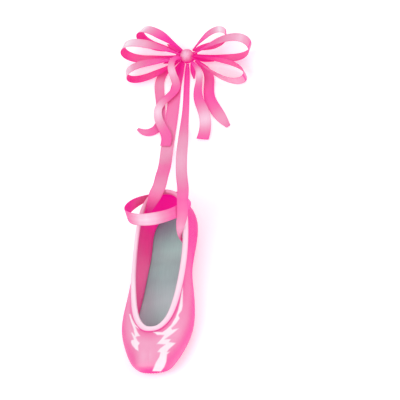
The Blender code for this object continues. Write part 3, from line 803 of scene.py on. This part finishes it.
def insolePlace(u, v):
    def outline(half):
        out = planNormal(edgeBack, edgeSide, half)
        edge = joined(edgeSide(half), edgeBack(half), np.zeros_like(half))
        pressed = pressPlatform(edge - insole["setback"] * out, last["length"] - insole["toeSetback"])
        return pressed[..., 1], pressed[..., 0]

    def under(back):
        return underHeight(back) + last["wall"] + last["gap"] + insole["lift"]

    heel, toe = (float(outline(np.array([place]))[0][0]) for place in (0.0, 1.0))
    ends = (heel + 2 * insole["setback"], toe - 2 * insole["setback"])
    points, fromRim, top = platePlace(u, v, outline, ends, under, insole["thick"], insole["bevel"])
    points[:, 2] -= softStep(2, 16, fromRim) * top * insole["hollow"]
    places, shades, cools = (np.array(column) for column in zip(*greyRows))
    shade = np.interp(-points[:, 1], -places, shades / 255)
    cool = np.interp(-points[:, 1], -places, cools)
    rim = np.exp(-fromRim / 1.5) * top
    return points, points[:, :2] * mm, {"shade": shade, "cool": cool, "rim": rim}


def makeLeather():
    finish, tree, shader = newFinish("sole leather", {"Specular IOR Level": 0.3})
    place = objectPlace(tree)
    grain = addNode(tree, "TexVoronoi", {"Vector": place, "Scale": 900}, feature="DISTANCE_TO_EDGE")
    patches = useGroup(tree, mottle, Place=place, Scale=60.0)["Value"]
    fine = useGroup(tree, mottle, Place=place, Scale=420.0)["Value"]
    worn = times(tree, attribute(tree, "scuff"), plus(tree, patches, 0.35))
    dark = plus(tree, times(tree, attribute(tree, "rim"), 0.35), times(tree, worn, 0.5))
    mixed = plus(tree, times(tree, patches, 0.5), 0.62)
    tones = {0.2: [c * 0.68 for c in sole["leather"]], 0.8: [min(c * 1.08, 255) for c in sole["leather"]]}
    feed(tree, shader.inputs["Base Color"], addRamp(tree, tones, sums(tree, "SUBTRACT", mixed, dark)))
    feed(tree, shader.inputs["Roughness"], plus(tree, times(tree, fine, 0.3), 0.68))
    addBump(tree, shader, plus(tree, times(tree, grain.outputs["Distance"], 3), fine), 0.12, 0.6)
    return finish


def makeGreyCloth():
    values = {"Roughness": 0.72, "Sheen Weight": 0.15, "Specular IOR Level": 0.3}
    finish, tree, shader = newFinish("insole cloth", values)
    threads = useGroup(tree, weave, Cloth=clothPlace(tree), Threads=1250.0, Slubs=1.4)
    patches = useGroup(tree, mottle, Place=objectPlace(tree), Scale=45.0)
    uneven = times(tree, plus(tree, threads["Streak"], patches["Value"]), 0.07)
    # painted shade, darker along the rim where the insole meets the walls
    rim = times(tree, attribute(tree, "rim"), 0.10)
    shade = sums(tree, "SUBTRACT", plus(tree, attribute(tree, "shade"), uneven), rim)
    given = {"Factor": attribute(tree, "cool"), 6: addRamp(tree, greys, shade), 7: insole["cooled"]}
    cooled = addNode(tree, "Mix", given, data_type="RGBA", blend_type="MULTIPLY")
    feed(tree, shader.inputs["Base Color"], cooled.outputs[2])
    addBump(tree, shader, threads["Height"], 0.06)
    return finish


def makeSoles():
    leather = [makeLeather()]
    gridPiece("outsole_leather", sole["counts"], solePlace, leather, "outsole")
    cloth = [makeGreyCloth()]
    gridPiece("insole_cloth", insole["counts"], insolePlace, cloth, "insole")
    print("soles made")


# Elastic ring at the heel

elastic = {
    "counts": (300, 36), "wide": 15.5, "thick": 1.2, "halfSpan": 36.5, "reach": 64, "rise": 43,
    "seatHeight": 38.6, "seatGap": 0.6, "swing": 6, "ribs": 9, "ribDepth": 0.16,
    "ripple": 0.35, "waves": 7,
}
# round the ring, in degrees from the heel: place and tone of its outer face and then its inner face, painted
# light and shade, pale where the front is lit and deep round the sides
ringOutsidePaintedTones = ((0, 0.30), (75, 0.34), (120, 0.44), (135, 0.52), (150, 0.68), (165, 0.88), (180, 0.95),
             (195, 0.93), (210, 0.74), (225, 0.52), (240, 0.34), (255, 0.20), (270, 0.15), (330, 0.30),
             (360, 0.30))
ringInsidePaintedTones = ((0, 0.30), (70, 0.42), (150, 0.30), (200, 0.35), (255, 0.02), (280, 0.28), (310, 0.60),
              (360, 0.40))


def heelBackAt(height):
    line = lastSurface(0.0, np.linspace(0, 1, 101))
    return np.interp(height, line[::-1, 2], line[::-1, 1])


def ringCentre(angle):
    seat = heelBackAt(elastic["seatHeight"]) + elastic["seatGap"] + elastic["thick"] / 2
    along = (1 - np.cos(angle)) / 2
    side = elastic["halfSpan"] * np.sin(angle) - elastic["swing"] * along
    return joined(side, seat - elastic["reach"] * along, elastic["seatHeight"] + elastic["rise"] * along)


def bandSection(share, halfWidth, halfThick, roundness=0.35):
    # places round a flat band's cross-section: across its width, and off its face
    angle = share * 2 * pi
    wide = np.sign(np.cos(angle)) * np.abs(np.cos(angle)) ** roundness
    thick = np.sign(np.sin(angle)) * np.abs(np.sin(angle)) ** roundness
    return wide * halfWidth, thick * halfThick


def ringPlace(u, v):
    angle = u * 2 * pi
    centre = ringCentre(angle)
    tangent = unit(ringCentre(angle + 0.01) - ringCentre(angle - 0.01))
    square = unit(np.array([0.0, elastic["rise"], elastic["reach"]]))
    half = elastic["wide"] / 2
    slope = heelBackAt(elastic["seatHeight"] - half) - heelBackAt(elastic["seatHeight"] + half)
    sewn = unit(np.array([0.0, -slope, elastic["wide"]]))
    lift = ((1 - np.cos(angle)) / 2)[:, None]
    across = sewn * (1 - lift) + square * lift
    across = unit(across - (across * tangent).sum(-1)[:, None] * tangent)
    inward = np.cross(tangent, across)
    wide, thick = bandSection(v, half, elastic["thick"] / 2)
    place = wide / half
    rib = 0.5 + 0.5 * np.cos(place * pi * elastic["ribs"])
    edge = np.abs(place) ** 6
    wave = elastic["ripple"] * lift[:, 0] * np.sin(angle * elastic["waves"]) * place
    off = np.sign(thick) * (np.abs(thick) - elastic["ribDepth"] * (1 - rib) * (np.abs(thick) > 0.3))
    points = centre + across * wide[:, None] + inward * (off + wave)[:, None]
    degrees = np.degrees(angle)
    # painted light and shade round the ring, on its outer and inner faces, with painted shade along its edges
    # and between its ribs
    tone = np.where(thick < 0, charted(ringOutsidePaintedTones, degrees), charted(ringInsidePaintedTones, degrees))
    tone = tone - 0.14 * edge - 0.05 * (1 - rib)
    return points, joined(wide * mm, angle * 0.036), {"tone": tone}


def makeElastic():
    woven = [makePinkCloth("elastic weave")]
    gridPiece("elastic_band", elastic["counts"], ringPlace, woven, "elastic_loop")
    print("elastic made")


# Ribbons, laid along the same stops as their solids

ribbon = {
    "wide": 16, "tailWide": 13, "thick": 0.6, "ring": 28, "stepsBetween": 12, "camber": 0.35, "pucker": 0.5,
    "folds": 2.5,
}
# each stop: x, y, z, roll in degrees, share of the full width, and tone, which is painted light and shade
# along the ribbon
ribbonStops = {
    "ribbon_left": (
        (-26, 1, 27, -30, 0.34, 0.1), (-22.8, 2.6, 35.5, -52, 0.4, 0.2),
        (-18.4, 4.4, 44.8, -68, 0.48, 0.34), (-12.8, 7.2, 53.2, -54, 0.72, 0.46),
        (-8.4, 14, 58.2, -26, 0.95, 0.56), (-5.4, 22.7, 58.4, -15, 1, 0.62),
        (-5.6, 43.1, 51, -14, 1, 0.58), (-10, 68, 34, -12, 1, 0.47), (-15.9, 92.8, 16, -8, 1, 0.64),
        (-19.9, 112.2, 5, -3, 1, 0.74), (-21, 127.7, 1.5, 0, 1, 0.68), (-20.6, 148.3, 1.2, 0, 1, 0.58),
        (-20.1, 170.2, 1.2, 0, 1, 0.54), (-20, 195.1, 1.2, 0, 0.95, 0.52),
        (-18.6, 217, 1.4, 0, 0.78, 0.42), (-14.4, 234.1, 3.8, 0, 0.5, 0.2),
        (-10.4, 240.9, 8.4, 0, 0.22, 0.12),
    ),
    "ribbon_right": (
        (28.4, -45, 29, 100, 0.26, 0.15), (26.6, -41.5, 36, 104, 0.38, 0.25),
        (25.2, -37.2, 46, 110, 0.5, 0.66), (27.8, -30, 57, 126, 0.66, 0.7),
        (33.4, -22.8, 70.6, 145, 0.8, 0.56), (35.3, -12, 80, 160, 0.84, 0.46),
        (33.5, 4.1, 78, 164, 0.86, 0.5), (26, 30.3, 66, 165, 0.86, 0.64),
        (15.7, 65.6, 46, 168, 0.86, 0.78), (6.6, 100.7, 25, 172, 0.86, 0.78),
        (0.3, 130.1, 9, 177, 0.8, 0.7), (-2.7, 153.1, 2.4, 180, 0.66, 0.54),
        (-3.7, 176, 1.2, 180, 0.54, 0.46), (-5.2, 199.6, 1.2, 180, 0.48, 0.36),
        (-6.6, 221.5, 1.6, 180, 0.44, 0.32), (-6.6, 234.4, 4.4, 180, 0.34, 0.26),
        (-5.7, 239.7, 8.2, 180, 0.22, 0.15),
    ),
}
# the tails' tones, like the ribbons', are painted light and shade
tailStops = {
    "bow_tail_1": (
        (-11.4, 241.7, 17.2, 10, 0.22, 0.22), (-15.7, 241.1, 20.5, 12, 0.32, 0.32),
        (-20.7, 237.3, 20.5, 14, 0.45, 0.5), (-23.3, 229.5, 15, 16, 0.56, 0.86),
        (-20.3, 219.3, 9, 10, 0.6, 0.74), (-17.8, 208.8, 5.6, 4, 0.66, 0.52),
        (-26.6, 194.2, 5, 0, 0.66, 0.48), (-37, 180.5, 4.6, 4, 0.62, 0.9),
        (-35.8, 164.4, 4.4, 4, 0.64, 0.84), (-28, 147.7, 4.2, 0, 0.74, 0.52),
        (-22.7, 134.9, 4, 0, 0.82, 0.44), (-23.2, 123.7, 3.4, 0, 0.84, 0.46),
    ),
    "bow_tail_2": (
        (-15.4, 245.4, 9.4, 0, 0.25, 0.1), (-26.4, 240.4, 5, 0, 0.42, 0.18),
        (-36.4, 232.8, 2.4, 0, 0.66, 0.42), (-41, 220.7, 1.3, 0, 0.75, 0.7),
        (-39.8, 205.9, 1.2, 0, 0.75, 0.62), (-36.9, 189.4, 1.2, 0, 0.7, 0.6),
        (-34.2, 173, 1.2, 0, 0.68, 0.55), (-34.9, 158.4, 1.2, 0, 0.72, 0.52),
        (-40.3, 149.4, 1.2, 0, 0.78, 0.46), (-50.8, 147.2, 1.6, 0, 0.6, 0.56),
        (-61.6, 152.7, 2.6, 0, 0.22, 0.54),
    ),
    "bow_tail_3": (
        (1.6, 237.1, 14.8, -6, 0.22, 0.25), (6.8, 231, 15, -10, 0.34, 0.42),
        (11.6, 223, 12, -14, 0.5, 0.88), (12, 212, 8.6, -14, 0.62, 0.66),
        (10.9, 200.5, 6.2, -10, 0.7, 0.44), (13.2, 186.5, 4.8, -4, 0.76, 0.46),
        (19.6, 171.7, 4.2, 0, 0.84, 0.74), (24.3, 155.1, 4.2, 0, 0.9, 0.9),
        (25, 140.7, 3.9, 0, 0.95, 0.62), (23.2, 129.3, 3.2, 0, 1, 0.4),
    ),
    "bow_tail_4": (
        (4.5, 242.4, 9.4, 0, 0.25, 0.18), (13.3, 235.7, 5, 0, 0.45, 0.34),
        (20.8, 224.2, 2.4, 0, 0.72, 0.44), (22.8, 207.1, 1.3, 0, 0.82, 0.42),
        (25.4, 190.7, 1.2, 0, 0.86, 0.36), (34.2, 173.8, 1.2, 0, 0.9, 0.52),
        (44.1, 158.9, 1.3, 0, 0.78, 0.72), (53.8, 146.1, 1.6, 0, 0.34, 0.58),
    ),
}
gatherStops = (  # short gathered ends round the knot, all in shade, most drawn out to points and one a band across the knot
    ((-15, 256, 12, -10, 0.3, 0.05), (-25, 264, 10, -6, 0.5, 0.12), (-35, 271, 8, 0, 0.03, 0.4)),
    ((-16, 248, 10, 0, 0.3, 0.05), (-26, 247, 7, 0, 0.45, 0.14), (-38, 245, 5, 0, 0.03, 0.3)),
    ((-13, 243, 8, 0, 0.3, 0.05), (-19, 235, 4.5, 0, 0.55, 0.12), (-25, 222, 2.4, 0, 0.3, 0.3)),
    ((2, 255, 12, 10, 0.3, 0.05), (10, 261, 10, 6, 0.45, 0.14), (19, 268, 8, 0, 0.03, 0.4)),
    ((3, 247, 10, 0, 0.3, 0.05), (13, 245, 7, 0, 0.45, 0.14), (27, 242, 5, 0, 0.03, 0.3)),
    ((0, 240, 8, 0, 0.25, 0.08), (1, 232, 4.5, 0, 0.4, 0.2), (3, 220, 2.4, 0, 0.08, 0.45)),
    ((-20.5, 256, 9, 0, 0.4, 0.05), (-13, 252, 8.6, 0, 0.8, 0.04), (-6, 248, 8, 0, 1.0, 0.04),
     (1, 250, 8.6, 0, 0.8, 0.04), (6, 252, 9, 0, 0.4, 0.05)),
)


def routeCentre(curves, place):
    return joined(*(curve(place) for curve in curves[:3]))


def ribbonPlace(stops):
    steps = [math.dist(a[:3], b[:3]) for a, b in zip(stops, stops[1:])]
    lengths = np.concatenate([[0], np.cumsum(steps)])
    total = lengths[-1]
    curves = [smoothCurve(lengths, column) for column in zip(*stops)]

    def place(u, v):
        along = v * total
        centre = routeCentre(curves, along)
        ahead = routeCentre(curves, np.minimum(along + 0.5, total))
        behind = routeCentre(curves, np.maximum(along - 0.5, 0))
        tangent = unit(ahead - behind)
        level = unit(np.cross(tangent, vertical))
        upright = np.cross(level, tangent)
        roll = np.radians(curves[3](along))[:, None]
        across = level * np.cos(roll) + upright * np.sin(roll)
        share = curves[4](along)
        half = share * ribbon["wide"] / 2
        wide, thick = bandSection(u, half, ribbon["thick"] / 2)
        face = np.cross(across, tangent)
        side = wide / half
        # a gathered stretch puckers into folds, and the free cloth is cupped a little
        gathered = np.clip(1 - share, 0, 1)
        wave = np.cos(side * pi * ribbon["folds"])
        folds = ribbon["pucker"] * gathered * wave
        cup = ribbon["camber"] * (side**2) * np.clip(share, 0, 1)
        points = centre + across * wide[:, None] + face * (thick + folds + cup)[:, None]
        # painted light and shade along the ribbon, with painted shade towards its edges and in the folds of a
        # gathered stretch
        tone = curves[5](along) - 0.12 * np.abs(side) ** 5
        tone -= 0.12 * gathered * (0.5 - 0.5 * wave)
        return points, joined(wide, along) * mm, {"tone": tone}

    return place, total, curves


def bandPiece(name, steps, place, finish, node):
    return gridPiece(name, (ribbon["ring"], steps), place, [finish], node, fillEnds=True)


def lengthOf(path):
    return float(np.linalg.norm(np.diff(path, axis=0), axis=1).sum())


def makeRibbon(name, stops, finish):
    place, total, curves = ribbonPlace(stops)
    steps = (len(stops) - 1) * ribbon["stepsBetween"]
    path = routeCentre(curves, np.linspace(0, total, steps + 1)) * mm
    return bandPiece(name + "_satin", steps, place, finish, name), path, lengthOf(path)


# Bow: six teardrop loops, four tails and the knot

bow = {
    "centre": (-6, 248, 13), "radius": 8.5, "spread": 0.55, "gather": 0.2, "gathered": 0.2,
    "pucker": 0.45, "steps": 150, "gatherSteps": 30,
}
Loop = namedtuple("Loop", "name far swell lean step outside inside")
# shares of a loop's length, out along its top and back below
loopTonesAt = (0, 0.1, 0.2, 0.36, 0.5, 0.64, 0.8, 0.9, 1)
loops = (  # outside and inside: the tones of the two faces there, painted light and shade, pale where a face is lit and deep where it lies in shade
    Loop("bow_loop_left_back", (-61.5, 35.1, 8), 20, 20, -0.54,
         (0.05, 0.06, 0.42, 0.98, 0.8, 0.3, 0.2, 0.1, 0.05), (0.05, 0.05, 0.05, 0, 0, 0, 0, 0.05, 0.05)),
    Loop("bow_loop_left_middle", (-81.1, 12.3, 8), 23, 20, -0.04,
         (0.1, 0.42, 0.8, 1.0, 0.7, 0.4, 0.4, 0.3, 0.1), (0.1, 0.1, 0.05, 0, 0, 0.3, 0.46, 0.12, 0.05)),
    Loop("bow_loop_left_front", (-73.8, -24, 2), 19, 20, 0.46,
         (0.1, 0.3, 0.5, 0.88, 0.84, 0.5, 0.45, 0.3, 0.1), (0.1, 0.1, 0.1, 0.1, 0.05, 0.2, 0.4, 0.2, 0.05)),
    Loop("bow_loop_right_back", (49.4, 23.6, 10), 18, 20, -0.54,
         (0.05, 0.06, 0.42, 0.98, 0.74, 0.3, 0.2, 0.1, 0.05), (0.05, 0.05, 0.05, 0, 0, 0, 0, 0.05, 0.05)),
    Loop("bow_loop_right_middle", (82.3, 1, 11), 29, 20, -0.04,
         (0.1, 0.34, 0.62, 0.86, 0.5, 0.4, 0.4, 0.3, 0.1), (0.1, 0.1, 0.1, 0.05, 0.1, 0.3, 0.42, 0.15, 0.05)),
    Loop("bow_loop_right_front", (76.4, -38.4, -1.5), 21, 84, 0.46,
         (0.1, 0.2, 0.3, 0.4, 0.6, 0.72, 0.62, 0.45, 0.15), (0.1, 0.2, 0.34, 0.4, 0.2, 0.1, 0.1, 0.1, 0.05)),
)


def loopPlace(loop):
    centre = np.array(bow["centre"], float)
    far = centre + np.array(loop.far)
    lean = math.radians(loop.lean)
    hole = np.array([0.0, -math.cos(lean), math.sin(lean)])
    leaving = unit(far - centre)
    half = bow["gathered"] * ribbon["wide"] / 2
    innerEdge = max(abs(loop.step) * bow["radius"] - half, 0)
    slant = math.copysign(innerEdge, loop.step) * float(hole @ leaving)
    reach = math.sqrt(slant**2 + (bow["radius"] + last["gap"]) ** 2 - innerEdge**2) - slant
    near = centre + hole * loop.step * bow["radius"] + leaving * reach
    axis = unit(far - near)
    hole = unit(hole - (hole @ axis) * axis)
    rise = np.cross(hole, axis) * (1 if axis[0] < 0 else -1)
    size = float(np.linalg.norm(far - near))

    def line(share):
        out = size * np.sin(pi * share)
        height = -loop.swell / 2 * np.sin(2 * pi * share) - bow["spread"] * np.cos(pi * share)
        return near + out[..., None] * axis + height[..., None] * rise

    def place(u, v):
        centreLine = line(v)
        tangent = unit(line(v + 0.002) - line(v - 0.002))
        face = np.cross(tangent, hole)
        fromEnd = np.minimum(v, 1 - v)
        gather = softStep(0, bow["gather"], fromEnd)
        share = bow["gathered"] + (1 - bow["gathered"]) * gather
        halfWide = ribbon["wide"] / 2 * share
        wide, thick = bandSection(u, halfWide, ribbon["thick"] / 2)
        side = wide / halfWide
        wave = np.cos(side * pi * ribbon["folds"])
        folds = bow["pucker"] * (1 - gather) * wave * softStep(0, 0.03, fromEnd)
        points = centreLine + hole * wide[:, None] + face * (thick + folds)[:, None]
        outward = (points - (near + axis * size / 2)) @ rise
        middle = (centreLine - (near + axis * size / 2)) @ rise
        outer = np.where(np.abs(middle) > 1, (outward - middle) * np.sign(middle) > 0, thick >= 0)
        outside, inside = (np.interp(v, loopTonesAt, tones) for tones in (loop.outside, loop.inside))
        # painted light and shade on each face, with painted shade towards the edges and in the gathered folds
        tone = np.where(outer, outside, inside) - 0.10 * np.abs(side) ** 5
        tone -= 0.10 * (1 - gather) * (0.5 - 0.5 * wave)
        return points, joined(wide * mm, v * size * 2.2 * mm), {"tone": tone}

    return place, line


knot = {"around": 80, "rows": 52, "share": 0.985, "folds": 5, "foldDepth": 0.3}


def roundOrder(point):
    return point.z * 1e4 + math.atan2(point.y, point.x)


def makeKnot(finish):
    builder = bmesh.new()
    radius = bow["radius"] * knot["share"]
    bmesh.ops.create_uvsphere(builder, u_segments=knot["around"], v_segments=knot["rows"], radius=radius)
    # its corners and faces come in no fixed order, so they are put in one, row by row
    builder.verts.sort(key=lambda vert: roundOrder(vert.co))
    builder.faces.sort(key=lambda face: roundOrder(face.calc_center_median()))
    toneLayer = builder.verts.layers.float.new("tone")
    clothLayer = builder.loops.layers.uv.new("cloth")
    right, up, back = (np.array(axis) for axis in viewAxes())
    centre = np.array(bow["centre"], float)
    for vert in builder.verts:
        way = np.array(vert.co) / radius
        crease = abs(math.sin(math.atan2(way @ up, way @ right + 0.2) * knot["folds"] / 2))
        outer = min(1, 2.2 * math.hypot(way @ up, way @ right))
        press = 1 - knot["foldDepth"] / radius * (1 - crease) ** 3 * outer
        vert.co = Vector(centre + way * radius * press)
        # painted light and shade: the knot is paler where it faces the camera, a little up and to the left,
        # with painted shade in its folds
        lit = max(0, way @ (back * 0.88 - right * 0.2 + up * 0.2))
        vert[toneLayer] = 0.22 + 0.70 * lit - 0.10 * (1 - crease) ** 3
    for face in builder.faces:
        for loop in face.loops:
            loop[clothLayer].uv = (loop.vert.co.x, loop.vert.co.z)
    for vert in builder.verts:
        vert.co *= mm
    return finishPiece("bow_knot_satin", builder, [finish], "bow_knot")


def makeBow(finish):
    knotPiece = makeKnot(finish)
    for loop in loops:
        place, line = loopPlace(loop)
        piece = bandPiece(loop.name + "_satin", bow["steps"], place, finish, loop.name)
        length = lengthOf(line(np.linspace(0, 1, 101))) * mm
    for number, stops in enumerate(gatherStops, start=1):
        place = ribbonPlace(stops)[0]
        bandPiece(f"bow_gather_{number}_satin", bow["gatherSteps"], place, finish, "bow_knot")
    for name, stops in tailStops.items():
        piece, path, length = makeRibbon(name, stops, finish)
    for name, stops in ribbonStops.items():
        piece, path, length = makeRibbon(name, stops, finish)
        print(name, "length", round(length, 4))
    print("ribbons and bow made")


makeStudio()
weave = makeWeave()
mottle = makeMottle()
pinkRamp = makePinks()
makeBow(makePinkCloth("ribbon satin"))
makeUpper()
makeBinding()
makeSoles()
makeElastic()
